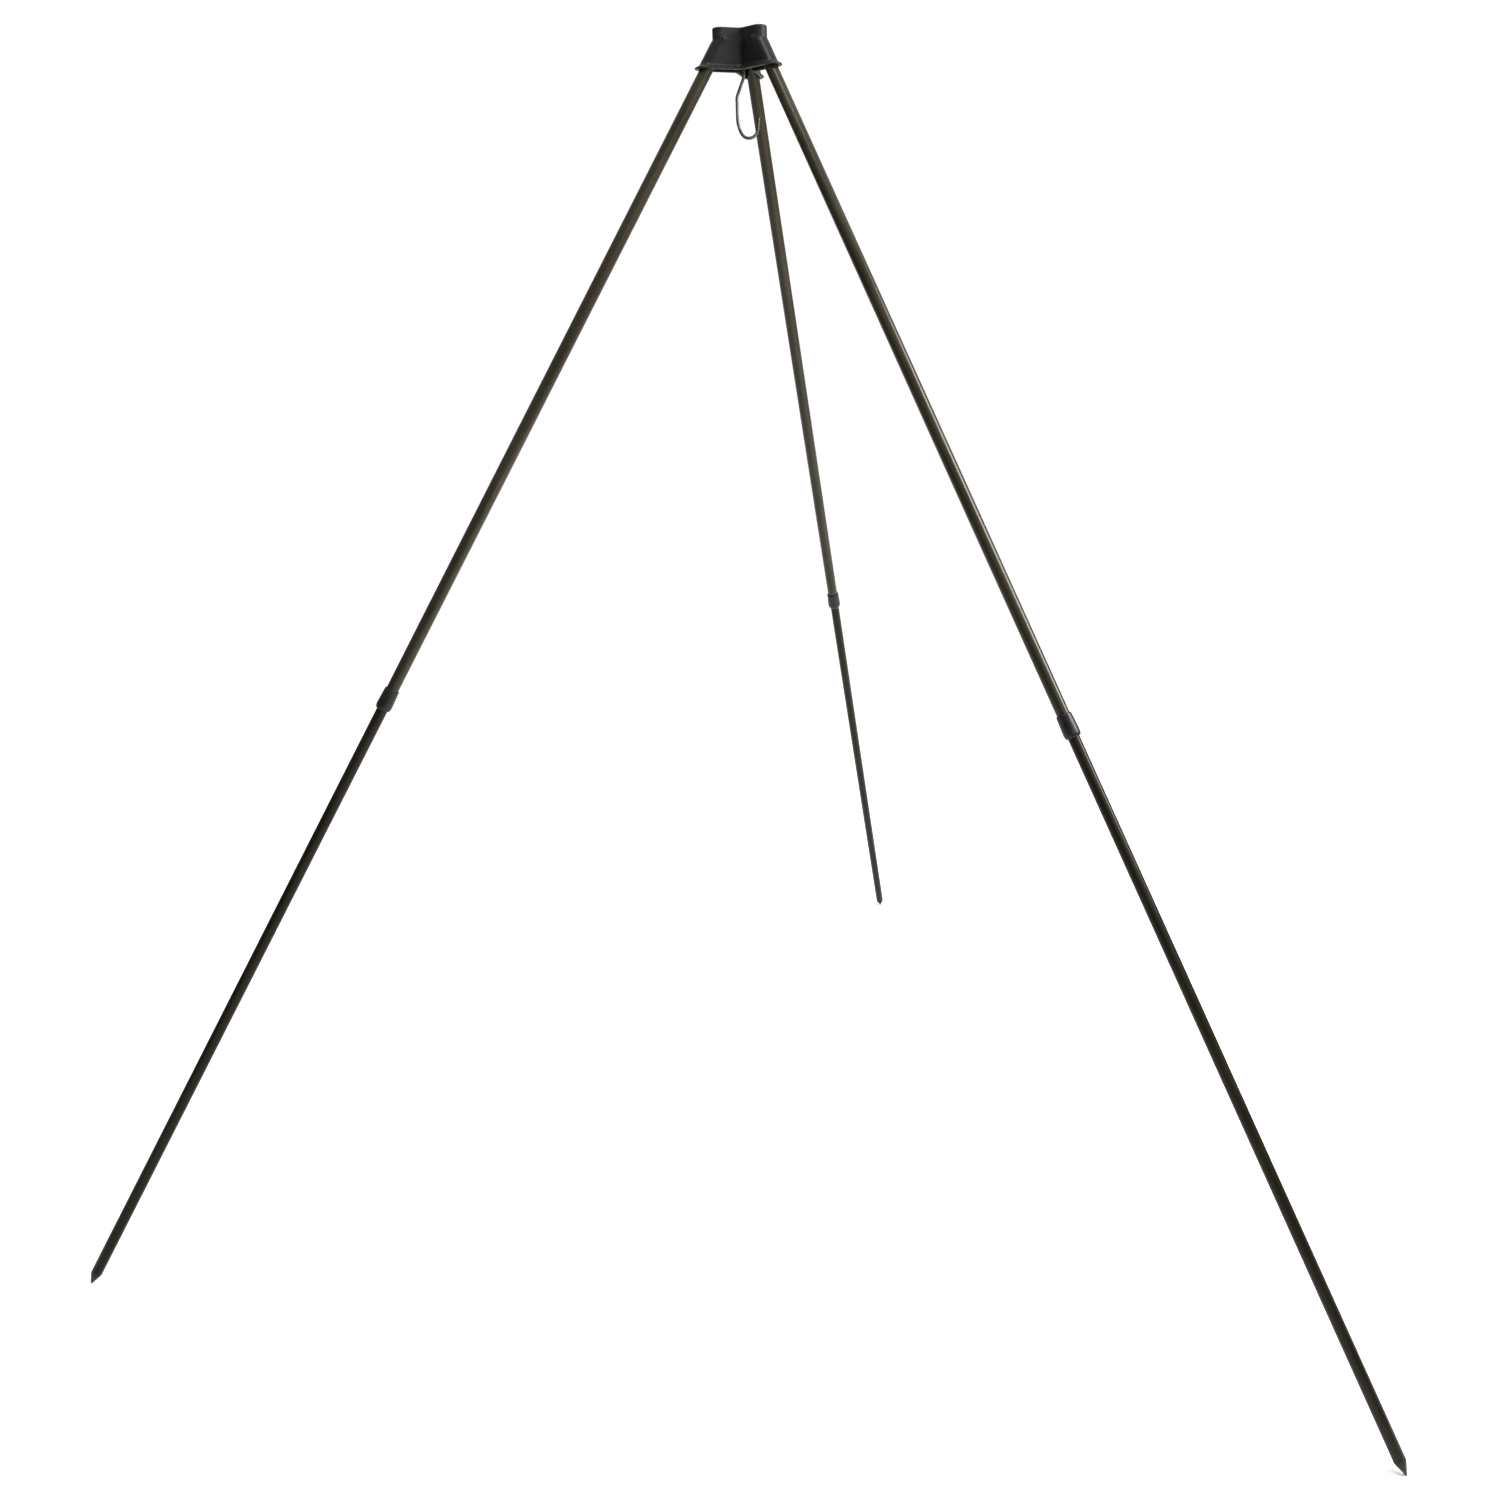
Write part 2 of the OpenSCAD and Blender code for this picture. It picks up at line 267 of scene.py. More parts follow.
def lock_plastic():
    """Smooth black moulding with a soft sheen and light handling marks."""
    n = Nodes("lock_plastic")
    cloud = n.noise(90, 4, 0.6)
    tone = n.mix(n.ramp(cloud, 0.35, 0.7), (0.0028, 0.0025, 0.0022), (0.0055, 0.0049, 0.0043))
    scuff = n.ramp(n.noise(220, 6, 0.7, (1, 1, 4)), 0.64, 0.72, 0, 0.35)
    tone = n.mix(scuff, tone, (0.040, 0.038, 0.034))
    n.link(tone, n.shader.inputs["Base Color"])
    n.link(n.ramp(cloud, 0.3, 0.7, 0.30, 0.40), n.shader.inputs["Roughness"])
    n.bump(n.noise(700, 3, 0.5), 0.2, 0.1 * MM)
    n.shader.inputs["Specular IOR Level"].default_value = 0.2
    return n.material


def glide_plastic():
    """Grey acetal of the hidden bushes and washers."""
    n = Nodes("glide_plastic")
    cloud = n.noise(120, 3)
    n.link(n.mix(cloud, (0.028, 0.028, 0.027), (0.045, 0.045, 0.043)), n.shader.inputs["Base Color"])
    n.link(n.ramp(cloud, 0.3, 0.7, 0.38, 0.5), n.shader.inputs["Roughness"])
    n.bump(n.noise(800, 2), 0.15, 0.1 * MM)
    return n.material


def hook_steel():
    """Dark drawn steel rod: fine lines along it, and a few stains."""
    n = Nodes("hook_steel")
    cloud = n.noise(70, 5, 0.6)
    tone = n.mix(n.ramp(cloud, 0.35, 0.7), (0.055, 0.052, 0.046), (0.105, 0.100, 0.090))
    stain = n.ramp(n.noise(210, 6, 0.7), 0.6, 0.72, 0, 0.55)
    tone = n.mix(stain, tone, (0.040, 0.034, 0.027))
    n.link(tone, n.shader.inputs["Base Color"])
    n.shader.inputs["Metallic"].default_value = 1.0
    n.shader.inputs["Specular Tint"].default_value = (0.30, 0.29, 0.27, 1)
    rough = n.ramp(cloud, 0.3, 0.7, 0.46, 0.56)
    n.link(n.math("ADD", rough, n.math("MULTIPLY", stain, 0.2)), n.shader.inputs["Roughness"])
    n.bump(n.noise(900, 3, 0.6, (1, 1, 0.2)), 0.06, 0.08 * MM)
    return n.material


def spike_coating():
    """The tube's dark coat, worn to grey steel towards the point and stained by soil."""
    n = Nodes("spike_coating", leg_axes=True)
    patch = n.noise(300, 6, 0.65)
    wear_line = n.math("ADD", n.height(), n.math("MULTIPLY", patch, 20 * MM))
    worn = n.ramp(wear_line, -LEG_END + 12 * MM, -LEG_END + 26 * MM, 0.6, 0.0)
    tone = n.mix(n.ramp(patch, 0.35, 0.7), (0.0050, 0.0045, 0.0033), (0.0100, 0.0090, 0.0070))
    tone = n.mix(worn, tone, (0.036, 0.035, 0.032))
    n.link(tone, n.shader.inputs["Base Color"])
    n.link(n.math("MULTIPLY", worn, 0.7), n.shader.inputs["Metallic"])
    n.link(n.ramp(patch, 0.3, 0.7, 0.36, 0.55), n.shader.inputs["Roughness"])
    n.bump(n.noise(900, 4, 0.6), 0.35, 0.2 * MM)
    n.shader.inputs["Specular IOR Level"].default_value = 0.12
    return n.material


# ---- Mesh helpers --------------------------------------------------------------------------


def mesh_object(name, points, faces, material, leg_place=None):
    """A smooth object in the scene, with its leg coordinates where it has them."""
    mesh = bpy.data.meshes.new(name)
    mesh.from_pydata([tuple(p) for p in points], [], faces)
    if leg_place is not None:
        layer = mesh.attributes.new(LEG_PLACE, "FLOAT_VECTOR", "POINT")
        layer.data.foreach_set("vector", np.asarray(leg_place, np.float32).ravel())
    shape = bmesh.new()
    shape.from_mesh(mesh)
    bmesh.ops.recalc_face_normals(shape, faces=shape.faces)
    shape.to_mesh(mesh)
    shape.free()
    mesh.materials.append(material)
    mesh.update()
    for polygon in mesh.polygons:
        polygon.use_smooth = True
    piece = bpy.data.objects.new(name, mesh)
    bpy.context.scene.collection.objects.link(piece)
    return piece


def ring_faces(rows, sides, closed):
    """Quads between rows of points. With closed, the last row joins the first one."""
    count = rows if closed else rows - 1
    faces = []
    for r in range(count):
        row, next_row = r * sides, (r + 1) % rows * sides
        for k in range(sides):
            after = (k + 1) % sides
            faces.append((row + k, row + after, next_row + after, next_row + k))
    return faces


def leg_matrix(azimuth):
    """The frame of a leg: origin at the apex, the leg running down its own -z."""
    return (Matrix.Translation((0, 0, APEX_Z))
            @ Matrix.Rotation(math.radians(azimuth), 4, "Z")
            @ Matrix.Rotation(-SPLAY, 4, "Y"))


def lathe(profile, sides):
    """Points of a closed profile of (radius, height) pairs turned round the z axis."""
    around = [2 * math.pi * k / sides for k in range(sides)]
    return np.array([(r * math.cos(a), r * math.sin(a), h) for r, h in profile for a in around])


def placed(points, matrix):
    """Points moved by a 4 x 4 matrix."""
    m = np.array(matrix)
    return points @ m[:3, :3].T + m[:3, 3]


def turned(name, profile, azimuth, material):
    """A closed profile of (radius, station) points turned round a leg's axis."""
    local = lathe([(r, -station) for r, station in profile], TUBE_SIDES)
    # Each leg's coordinates are shifted sideways, so that no two legs share the same scratches.
    leg_place = local + (math.radians(azimuth), 0, 0)
    faces = ring_faces(len(profile), TUBE_SIDES, True)
    return mesh_object(name, placed(local, leg_matrix(azimuth)), faces, material, leg_place)


def rounded(corner, before, after, radius):
    """Points that round a profile's corner between its two neighbours, along a parabola."""
    corner = np.array(corner, float)
    back, ahead = (np.array(point, float) - corner for point in (before, after))
    back, ahead = back / np.linalg.norm(back), ahead / np.linalg.norm(ahead)
    out = []
    for k in range(CORNER_STEPS + 1):
        t = k / CORNER_STEPS
        out.append(tuple(corner + back * radius * (1 - t) ** 2 + ahead * radius * t ** 2))
    return out


def soften(corners, radius):
    """A closed profile with every corner rounded by the same small radius."""
    out = []
    for i, corner in enumerate(corners):
        out += rounded(corner, corners[i - 1], corners[(i + 1) % len(corners)], radius)
    return out


# ---- Legs ----------------------------------------------------------------------------------

TUBE_EDGE = 0.25 * MM
TUBE_RING_STEP = 60 * MM

# The lock collar's sizes. The bevel is (width, length). The start of the sides and both ends of the
# thread are measured from the upper face, and the tail and the throat from the lower end.
COLLAR_SHOULDER_R = 13.0 * MM
COLLAR_WIDE_R = 14.2 * MM
COLLAR_TAIL_R = 11.1 * MM
COLLAR_BORE_R = 11.95 * MM
COLLAR_MOUTH_R = 11.3 * MM
COLLAR_THROAT_R = 10.2 * MM
COLLAR_BEVEL = (0.7 * MM, 1.6 * MM)
COLLAR_SIDES_START = 2.4 * MM
COLLAR_TAIL = 9 * MM
COLLAR_TAIL_ANGLES = (4, 86)
COLLAR_THREAD = (4 * MM, 29 * MM)
COLLAR_THROAT = 4 * MM
COLLAR_EDGE = 0.3 * MM
COLLAR_SWELL = 0.12 * MM
COLLAR_STEPS = 9

TENON = 20 * MM
SPIKE_END_R = 1.5 * MM
SPIKE_LAST_ANGLE = math.radians(89)
SPIKE_HALF_ANGLE = math.radians(23)
SPIKE_SHOULDER = 1.6 * MM
SPIKE_SHOULDER_STEPS = 10
SPIKE_CONE_STEPS = 7
SPIKE_END_STEPS = 6


def split_long(profile, step):
    """Adds points to a profile's long straight runs, so that long tubes have even rings."""
    out = []
    for a, b in zip(profile, profile[1:] + profile[:1]):
        a, b = np.array(a, float), np.array(b, float)
        count = max(1, int(np.linalg.norm(b - a) / step))
        out += [tuple(a + (b - a) * k / count) for k in range(count)]
    return out


def tube_profile(r_out, r_in, start, end):
    """A tube's wall with softened edges, from one station to another."""
    corners = [(r_in, start), (r_out, start), (r_out, end), (r_in, end)]
    return split_long(soften(corners, TUBE_EDGE), TUBE_RING_STEP)


def collar_profile():
    """Barrel nut: a chamfered shoulder, sides that swell downwards, a rounded tail and its bore."""
    bevel_width, bevel_length = COLLAR_BEVEL
    face_edge = (COLLAR_SHOULDER_R - bevel_width, COLLAR_FROM)
    shoulder = (COLLAR_SHOULDER_R, COLLAR_FROM + bevel_length)
    sides_from, sides_to = COLLAR_FROM + COLLAR_SIDES_START, COLLAR_TO - COLLAR_TAIL
    outside = [(COLLAR_MOUTH_R, COLLAR_FROM + COLLAR_EDGE), (COLLAR_MOUTH_R + 0.25 * MM, COLLAR_FROM)]
    outside += rounded(face_edge, (COLLAR_MOUTH_R, COLLAR_FROM), shoulder, 0.4 * MM)
    outside += rounded(shoulder, face_edge, (COLLAR_WIDE_R, sides_to), 0.7 * MM)
    for k in range(1, COLLAR_STEPS):
        t = k / COLLAR_STEPS
        swell = COLLAR_SWELL * math.sin(math.pi * t)
        radius = COLLAR_SHOULDER_R + (COLLAR_WIDE_R - COLLAR_SHOULDER_R) * t + swell
        outside.append((radius, sides_from + (sides_to - sides_from) * t))
    # The tail is nearly a quarter of an ellipse.
    first, last = COLLAR_TAIL_ANGLES
    for k in range(COLLAR_STEPS + 1):
        a = math.radians(first + (last - first) * k / COLLAR_STEPS)
        radius = COLLAR_TAIL_R + (COLLAR_WIDE_R - COLLAR_TAIL_R) * math.cos(a)
        outside.append((radius, sides_to + COLLAR_TAIL * math.sin(a)))
    thread_from, thread_to = (COLLAR_FROM + along for along in COLLAR_THREAD)
    inside = [(COLLAR_TAIL_R - COLLAR_EDGE, COLLAR_TO), (COLLAR_THROAT_R + 0.2 * MM, COLLAR_TO),
              (COLLAR_THROAT_R, COLLAR_TO - COLLAR_EDGE), (COLLAR_THROAT_R, COLLAR_TO - COLLAR_THROAT),
              (COLLAR_BORE_R, thread_to), (COLLAR_BORE_R, thread_from), (COLLAR_MOUTH_R, thread_from)]
    return outside + inside


def spike_profile():
    """Spike: a hidden tenon, a rounded shoulder, a cone and a blunt ball end."""
    tilt = SPIKE_HALF_ANGLE
    ball_at = LEG_END - SPIKE_END_R
    cone_end_r = SPIKE_END_R * math.cos(tilt)
    cone_end_at = ball_at + SPIKE_END_R * math.sin(tilt)
    neck_r = LOWER_R - SPIKE_SHOULDER
    neck_at = cone_end_at - (neck_r - cone_end_r) / math.tan(tilt)
    # The profile stops just short of the axis, where the turned faces would have no width.
    axis_r = 0.02 * MM
    points = [(axis_r, FOOT_AT - TENON), (LOWER_BORE, FOOT_AT - TENON), (LOWER_BORE, FOOT_AT)]
    points += [(LOWER_R - 0.15 * MM, FOOT_AT), (LOWER_R, FOOT_AT + 0.2 * MM)]
    for k in range(1, SPIKE_SHOULDER_STEPS + 1):
        t = k / SPIKE_SHOULDER_STEPS
        points.append((LOWER_R - SPIKE_SHOULDER * t * t, FOOT_AT + (neck_at - FOOT_AT) * t))
    for k in range(1, SPIKE_CONE_STEPS):
        t = k / SPIKE_CONE_STEPS
        points.append((neck_r + (cone_end_r - neck_r) * t, neck_at + (cone_end_at - neck_at) * t))
    for k in range(SPIKE_END_STEPS + 1):
        a = tilt + (SPIKE_LAST_ANGLE - tilt) * k / SPIKE_END_STEPS
        points.append((SPIKE_END_R * math.cos(a), ball_at + SPIKE_END_R * math.sin(a)))
    points.append((axis_r, LEG_END))
    return points


def add_leg(leg, azimuth):
    """A leg's four visible pieces, each riding on a body of that leg."""
    upper = tube_profile(UPPER_R, UPPER_BORE, UPPER_FROM, UPPER_TO)
    lower = tube_profile(LOWER_R, LOWER_BORE, LOWER_FROM, FOOT_AT)
    pieces = (
        ("upper_tube", upper, UPPER_PAINT, "leg_", "tube_paint"),
        ("lower_tube", lower, LOWER_PAINT, "lower_leg_", "tube_paint"),
        ("lock_collar", collar_profile(), PLASTIC, "lock_", "lock_plastic"),
        ("foot_spike", spike_profile(), SPIKE, "lower_leg_", "spike_coating"),
    )
    for name, profile, material, body, slot in pieces:
        piece = turned(f"{name}_{leg}_skin", profile, azimuth, material)
        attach(piece, body + leg)
        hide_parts(f"{name}_{leg}")


# ---- Head ----------------------------------------------------------------------------------

# A lobe has an upright band above and a skirt below, which follows the leg. Half widths are those
# of a lobe, and the band's nose has its centre BAND_NOSE from the tripod's axis.
BAND_NOSE = 40.0 * MM
BAND_HALF = 14.2 * MM
SKIRT_HALF = 14.6 * MM
BLEND = (62.5 * MM, 70.5 * MM)
WALL = 2.25 * MM
VALLEY_R = 7 * MM
VALLEY_R_LEAST = 1.5 * MM
EDGE_R = 2.6 * MM
WALL_END = 105.5 * MM
EDGE_STEPS = 6
WALL_STEPS = 34
FILLET_POINTS = 5
SIDE_POINTS = 18
NOSE_POINTS = 14
PLATE_RINGS = (0.0, 0.2, 0.45, 0.7)

BOSS_R = 7 * MM
BOSS_FOOT = 13.4 * MM
BOSS_FACE = 14.8 * MM
BOSS_EDGE = 0.35 * MM

# The lip's section, as (depth, distance out from the skirt) in millimetres.
LIP = ((107.6, 0.25), (109.0, 0.9), (110.2, 1.9), (111.0, 3.0), (111.7, 4.0), (112.5, 4.6),
       (113.3, 4.8), (114.2, 4.6), (115.0, 3.9), (115.6, 2.7), (115.9, 1.2), (116.0, -0.5),
       (115.9, -1.6), (115.4, -2.2))
# Depths of the rows up the inside, in millimetres, closer together where the lobes change shape.
INSIDE = (112, 104, 95, 86, 78, 71, 68, 65, 62, 58, 54, 51)
# The corner under the top plate, as (depth below the plate, distance in from the wall).
INNER_CORNER = ((0.8 * MM, 0.2 * MM), (0.0, 1.2 * MM))


def smoothstep(low, high, x):
    """An eased step from 0 at low to 1 at high."""
    t = min(1.0, max(0.0, (x - low) / (high - low)))
    return t * t * (3 - 2 * t)


def half_outline(depth, out):
    """One lobe's outline at a depth, from the valley beside it to its nose, moved out by out."""
    # How far the band has turned into the skirt: 0 is all band, 1 is all skirt.
    blend = smoothstep(*BLEND, depth)
    half = BAND_HALF + (SKIRT_HALF - BAND_HALF) * blend + out
    nose_at = BAND_NOSE + (depth * math.tan(SPLAY) - BAND_NOSE) * blend
    reach = half * (1 + (1 / math.cos(SPLAY) - 1) * blend)
    fillet = max(VALLEY_R_LEAST, VALLEY_R - out)
    # The valley's middle is 60 degrees from the lobe's, and the fillet's centre lies on that line.
    centre = np.array(((half + fillet) / math.tan(math.radians(60)), half + fillet))
    points = []
    for k in range(FILLET_POINTS):
        a = math.radians(240 + 30 * k / FILLET_POINTS)
        points.append(centre + fillet * np.array((math.cos(a), math.sin(a))))
    for k in range(SIDE_POINTS):
        points.append(np.array((centre[0] + (nose_at - centre[0]) * k / SIDE_POINTS, half)))
    for k in range(NOSE_POINTS + 1):
        a = math.radians(90 - 90 * k / NOSE_POINTS)
        points.append(np.array((nose_at + reach * math.cos(a), half * math.sin(a))))
    return points


def outline(depth, out):
    """The head's whole outline at a depth, anticlockwise, as (x, y) points."""
    half = half_outline(depth, out)
    sector = [(x, -y) for x, y in half] + [(x, y) for x, y in reversed(half[1:-1])]
    points = []
    for azimuth in LEGS.values():
        c, s = math.cos(math.radians(azimuth)), math.sin(math.radians(azimuth))
        points += [(x * c - y * s, x * s + y * c) for x, y in sector]
    return np.array(points)


def head_rows():
    """(depth, outward offset) of the head's rows, from the top's edge round the lip to the inside."""
    rows = []
    for k in range(EDGE_STEPS + 1):
        a = math.radians(90 * k / EDGE_STEPS)
        rows.append((HEAD_TOP + EDGE_R * (1 - math.cos(a)), -EDGE_R * (1 - math.sin(a))))
    wall_top = rows[-1][0]
    rows += [(wall_top + (WALL_END - wall_top) * k / WALL_STEPS, 0.0) for k in range(1, WALL_STEPS + 1)]
    rows += [(depth * MM, out * MM) for depth, out in LIP]
    rows += [(depth * MM, -WALL) for depth in INSIDE]
    rows += [(HEAD_TOP + TOP_PLATE + below, -WALL - inward) for below, inward in INNER_CORNER]
    return rows


def add_head(material):
    """The shell as one closed skin: top plate, edge, band, skirt, lip, inside and a stud hole."""
    rings = [(outline(depth, out), APEX_Z - depth) for depth, out in head_rows()]
    (top, top_z), (under, under_z) = rings[0], rings[-1]
    angles = np.arctan2(top[:, 1], top[:, 0])
    hole = STUD_HOLE_R * np.column_stack((np.cos(angles), np.sin(angles)))
    plate_out = [(hole + (top - hole) * t, top_z) for t in PLATE_RINGS]
    plate_in = [(hole + (under - hole) * t, under_z) for t in reversed(PLATE_RINGS)]
    rings = plate_out + rings + plate_in
    points = [(x, y, z) for ring, z in rings for x, y in ring]
    piece = mesh_object("head_skin", points, ring_faces(len(rings), len(top), True), material)
    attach(piece, "head")
    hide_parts("head_shell")


def add_bosses(material):
    """The flat round boss under each rivet head, on both sides of each lobe."""
    corners = [(PIN_HOLE_R, BOSS_FOOT), (BOSS_R, BOSS_FOOT), (BOSS_R, BOSS_FACE), (PIN_HOLE_R, BOSS_FACE)]
    profile = soften(corners, BOSS_EDGE)
    local = lathe(profile, BOSS_SIDES)
    one_boss = ring_faces(len(profile), BOSS_SIDES, True)
    other_boss = [tuple(i + len(local) for i in corner_ids) for corner_ids in one_boss]
    for leg, azimuth in LEGS.items():
        pivot = leg_matrix(azimuth) @ Matrix.Translation((0, 0, -PIVOT_AT))
        to_sides = [pivot @ Matrix.Rotation(math.radians(turn), 4, "X") for turn in (90, -90)]
        points = np.vstack([placed(local, to_side) for to_side in to_sides])
        piece = mesh_object(f"pivot_boss_{leg}", points, one_boss + other_boss, material)
        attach(piece, "head")


# ---- Hook ----------------------------------------------------------------------------------

# Depths and x are those of the rod's middle line. The rod runs from an eye bent round the stud's
# link, down a slanted neck and a straight shank, round the bowl and up to the tip.
HOOK_R = 2.75 * MM
STUD_WIRE_R = 2.5 * MM
LINK_R = 7 * MM
LINK_PLAY = 0.3 * MM
EYE_FROM = math.radians(-51)
THROAT_R = 4 * MM
BOWL_R = 16 * MM
BOWL_DEPTH = 212 * MM
FLANK_R = 57 * MM
FLARE = math.radians(28)
SHANK_X = -13.7 * MM
SLANT = math.radians(23)
SLANT_DEPTH = 122.5 * MM
BEND_R = 15 * MM
TIP_LENGTH = 17.5 * MM
BOWL_STOP = math.radians(353.5)
ROD_STEP = 2.5 * MM
EYE_STEPS = 48
BEND_STEPS = 10
FLANK_STEPS = 16
BOWL_STEPS = 40
CAP_ANGLES = tuple(math.radians(degrees) for degrees in (18, 36, 54, 70, 84))


def arc(centre, radius, start, end, steps):
    """Points along an arc in the (x, z) plane, without its first point."""
    out = []
    for k in range(1, steps + 1):
        a = start + (end - start) * k / steps
        out.append(np.array(centre) + radius * np.array((math.cos(a), math.sin(a))))
    return out


def straight(start, end):
    """Even points from start, left out, to end."""
    count = max(1, round(float(np.linalg.norm(end - start)) / ROD_STEP))
    return [start + (end - start) * k / count for k in range(1, count + 1)]


def joint_position(name):
    """A joint's place at rest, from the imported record."""
    joints = {j["name"]: j for j in frame["record"]["behaviour"]["joints"]}
    return joints[name]["pos_m"]


def hook_line():
    """The middle of the hook's rod as (x, z) points, z measured from the apex."""
    swing_z = joint_position("hook_swing")[2] - APEX_Z
    eye = np.array((0.0, swing_z - (LINK_R - HOOK_R - STUD_WIRE_R - LINK_PLAY)))
    throat = eye - np.array((THROAT_R, math.sqrt(LINK_R ** 2 + 2 * LINK_R * THROAT_R)))
    throat_a = math.acos(THROAT_R / (LINK_R + THROAT_R))
    neck = np.array((-BEND_R, -SLANT_DEPTH))
    slant_run = (-SHANK_X - 2 * BEND_R * (1 - math.cos(SLANT))) / math.sin(SLANT)
    neck_end = neck + BEND_R * np.array((math.cos(-SLANT), math.sin(-SLANT)))
    heel_start = neck_end - slant_run * np.array((math.sin(SLANT), math.cos(SLANT)))
    heel = heel_start + BEND_R * np.array((math.cos(SLANT), -math.sin(SLANT)))
    flank_run = FLANK_R - BOWL_R
    flank = np.array((FLANK_R + SHANK_X, flank_run * math.sin(FLARE) - BOWL_DEPTH))
    bowl = flank - flank_run * np.array((math.cos(FLARE), math.sin(FLARE)))
    line = arc(eye, LINK_R, EYE_FROM, math.pi + throat_a, EYE_STEPS)
    line += arc(throat, THROAT_R, throat_a, 0, BEND_STEPS)
    line += straight(line[-1], neck + np.array((BEND_R, 0)))
    line += arc(neck, BEND_R, 0, -SLANT, BEND_STEPS)
    line += straight(line[-1], heel_start)
    line += arc(heel, BEND_R, math.pi - SLANT, math.pi, BEND_STEPS)
    line += straight(line[-1], np.array((SHANK_X, flank[1])))
    line += arc(flank, FLANK_R, math.pi, math.pi + FLARE, FLANK_STEPS)
    line += arc(bowl, BOWL_R, math.pi + FLARE, BOWL_STOP, BOWL_STEPS)
    way = np.array((-math.sin(BOWL_STOP), math.cos(BOWL_STOP)))
    line += straight(line[-1], line[-1] + way * TIP_LENGTH)
    return line


def end_cap(centre, outward, way):
    """Rings, as (centre, radius, way), that close one end of the rod with a dome."""
    return [(centre + outward * HOOK_R * math.sin(a), HOOK_R * math.cos(a), way) for a in CAP_ANGLES]


def add_hook(material):
    """The hook's rod: rings along its middle line, with a dome at each end."""
    line = hook_line()
    last = len(line) - 1
    ways = [line[min(i + 1, last)] - line[max(i - 1, 0)] for i in range(last + 1)]
    ways = [w / np.linalg.norm(w) for w in ways]
    rings = [(p, HOOK_R, w) for p, w in zip(line, ways)]
    rings = end_cap(line[0], -ways[0], ways[0])[::-1] + rings + end_cap(line[last], ways[last], ways[last])
    points = []
    for centre, radius, way in rings:
        for k in range(ROD_SIDES):
            a = 2 * math.pi * k / ROD_SIDES
            points.append((centre[0] - way[1] * radius * math.cos(a), radius * math.sin(a),
                           APEX_Z + centre[1] + way[0] * radius * math.cos(a)))
    faces = ring_faces(len(rings), ROD_SIDES, False)
    first_ring = tuple(range(ROD_SIDES))
    faces.append(first_ring[::-1])
    faces.append(tuple((len(rings) - 1) * ROD_SIDES + k for k in first_ring))
    piece = mesh_object("hook_rod", points, faces, material)
    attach(piece, "hook")
    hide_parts("hook")


# ---- Floor and light -----------------------------------------------------------------------

FLOOR_HALF = 30.0

# The studio's brightness in a direction: the first level at least, or the second plus a dot
# product with the rise, which stays below RISE_MOST. The camera sees plain white behind the object.
WORLD_LEVELS = (0.03, 0.12)
WORLD_RISE = (0.14, 0.0, 1.42)
RISE_MOST = 2.0
WHITE = 1.05


def add_floor():
    """Plain pale paper, wide enough that its end is never seen."""
    n = Nodes("floor_paper")
    tone = n.mix(n.noise(1.5, 2), (0.96, 0.96, 0.96), (0.97, 0.97, 0.97))
    n.link(tone, n.shader.inputs["Base Color"])
    n.shader.inputs["Roughness"].default_value = 0.9
    n.shader.inputs["Specular IOR Level"].default_value = 0.1
    corners = [(x * FLOOR_HALF, y * FLOOR_HALF, 0) for x, y in ((-1, -1), (1, -1), (1, 1), (-1, 1))]
    mesh_object("floor", corners, [(0, 1, 2, 3)], n.material)


def add_light(name, position, target, size, power):
    """A white rectangular softbox of a size in metres and a power in watts."""
    data = bpy.data.lights.new(name, "AREA")
    data.shape = "RECTANGLE"
    data.size, data.size_y = size
    data.energy = power
    light = bpy.data.objects.new(name, data)
    bpy.context.scene.collection.objects.link(light)
    aim = (Vector(target) - Vector(position)).to_track_quat("-Z", "Y")
    light.matrix_world = Matrix.Translation(position) @ aim.to_matrix().to_4x4()


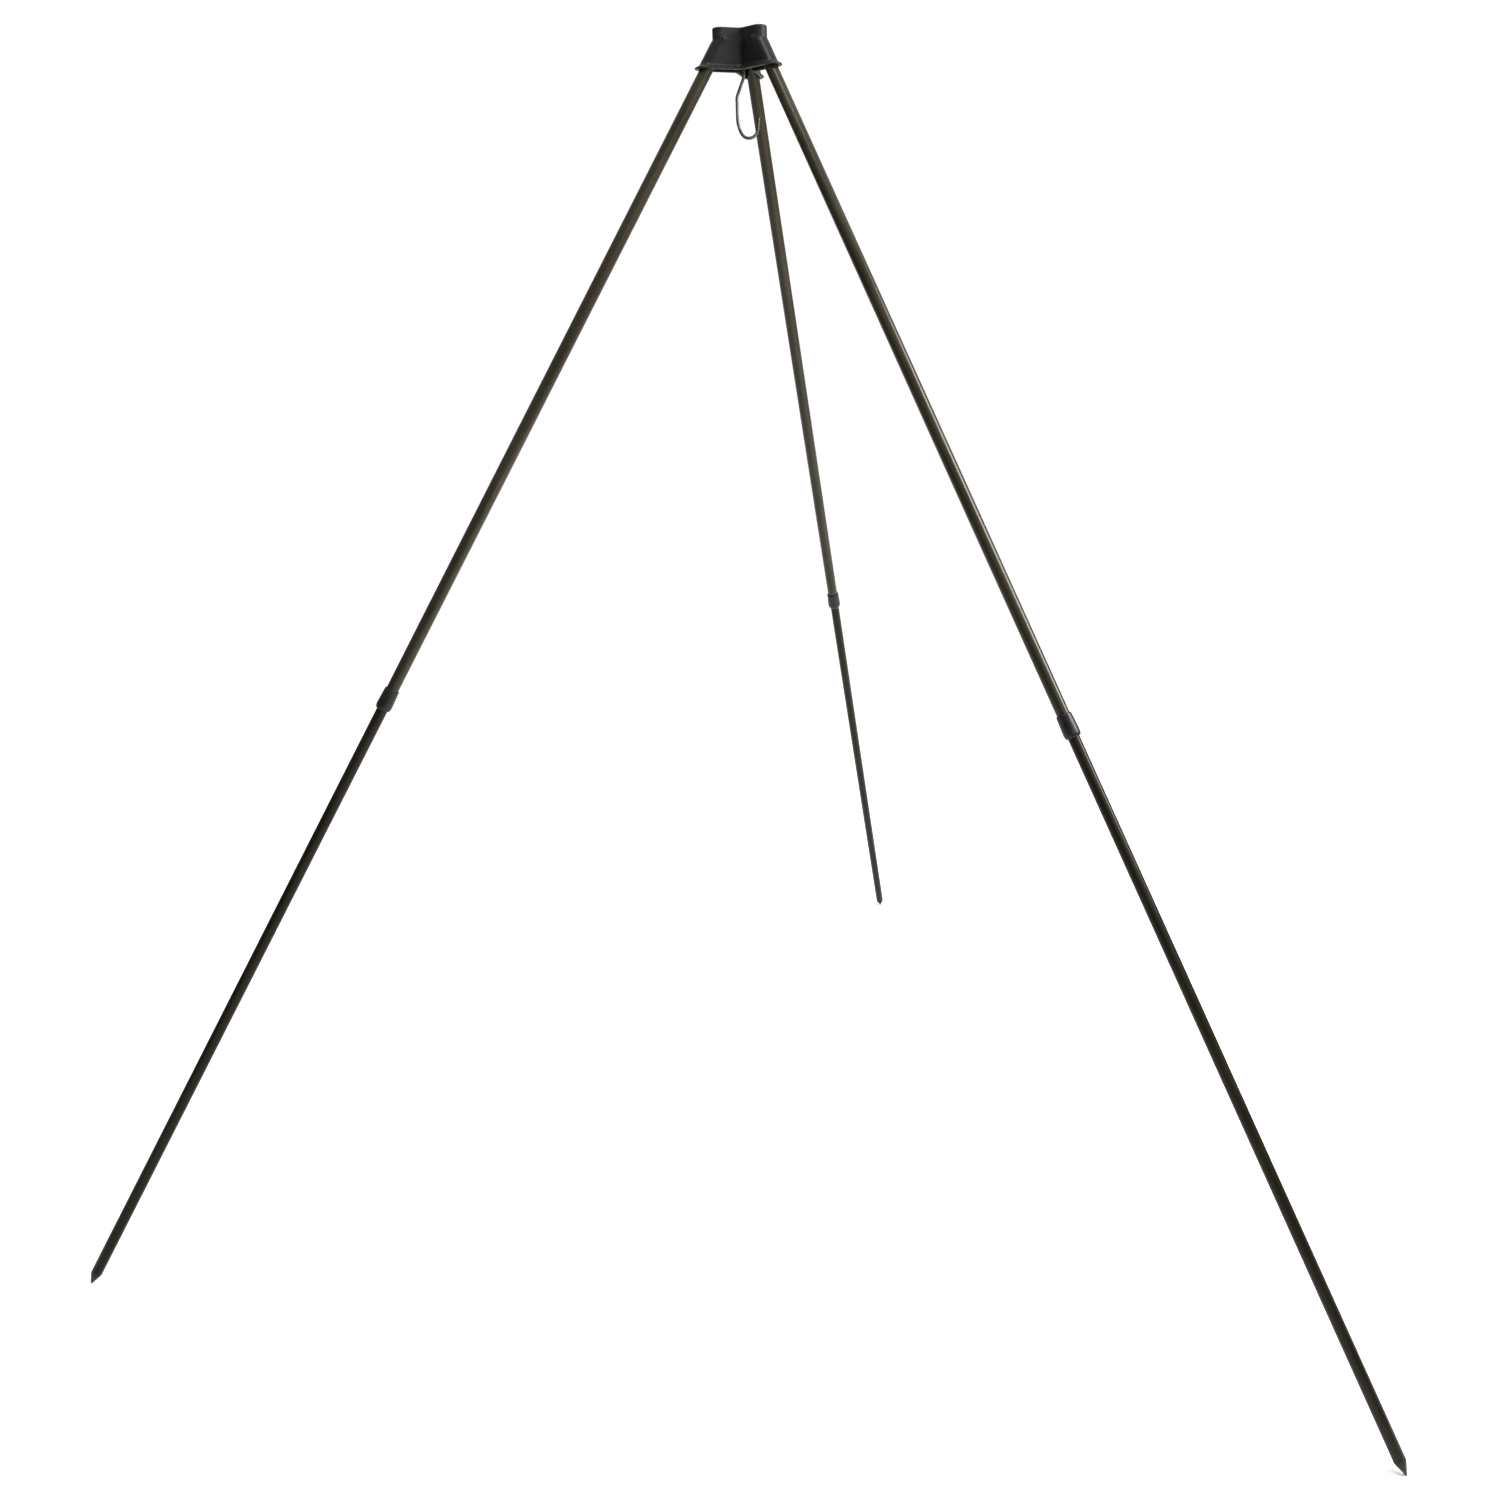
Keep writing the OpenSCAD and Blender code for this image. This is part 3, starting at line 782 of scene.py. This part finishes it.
def add_world():
    """A white studio: strong light from above, softer from the right, faint from left and below."""
    world = bpy.data.worlds.new("studio")
    world.use_nodes = True
    tree = world.node_tree
    way = tree.nodes.new("ShaderNodeTexCoord").outputs["Generated"]
    rise = tree.nodes.new("ShaderNodeVectorMath")
    rise.operation = "DOT_PRODUCT"
    rise.inputs[1].default_value = WORLD_RISE
    tree.links.new(way, rise.inputs[0])
    level = tree.nodes.new("ShaderNodeMapRange")
    least, middle = WORLD_LEVELS
    set_range(level, least - middle, RISE_MOST, least, middle + RISE_MOST)
    tree.links.new(rise.outputs["Value"], level.inputs["Value"])
    seen = tree.nodes.new("ShaderNodeMix")
    tree.links.new(tree.nodes.new("ShaderNodeLightPath").outputs["Is Camera Ray"], seen.inputs[0])
    tree.links.new(level.outputs["Result"], seen.inputs[2])
    seen.inputs[3].default_value = WHITE
    background = tree.nodes["Background"]
    background.inputs["Color"].default_value = (1, 1, 1, 1)
    tree.links.new(seen.outputs[0], background.inputs["Strength"])
    bpy.context.scene.world = world
    bpy.context.scene.view_settings.view_transform = "Standard"


# ---- Assembly ------------------------------------------------------------------------------

add_camera()
add_world()
add_floor()
add_light("side_softbox", (2.95, -0.25, 2.90), (0.45, -0.25, 1.30), (1.4, 2.2), 290)
add_light("top_softbox", (0.35, -0.80, 3.75), (0.05, -0.03, 2.10), (0.8, 0.8), 28)
add_light("front_fill", (2.50, -2.60, 2.30), (0.0, 0.0, 1.90), (1.0, 1.0), 14)

UPPER_PAINT = tube_paint("upper_tube_paint", 0.85, 0.19)
LOWER_PAINT = tube_paint("lower_tube_paint", 0.4, 0.1)
COATING = head_coating()
PLASTIC = lock_plastic()
GLIDE = glide_plastic()
STEEL = hook_steel()
SPIKE = spike_coating()

for leg_name, leg_azimuth in LEGS.items():
    add_leg(leg_name, leg_azimuth)
add_head(COATING)
add_bosses(COATING)
add_hook(STEEL)

# The frame's own nodes that are carried as they are, by the start of their names.
CARRIED = {"pivot_pin": COATING, "pivot_sleeve": STEEL, "lock_ferrule": PLASTIC, "lock_collet": GLIDE,
           "guide_bush": GLIDE, "swivel_stud": STEEL, "swivel_washer": GLIDE, "swivel_nut": STEEL}
for node_name, node in frame["nodes"].items():
    for start, material in CARRIED.items():
        if node_name.startswith(start):
            node.data.materials.clear()
            node.data.materials.append(material)
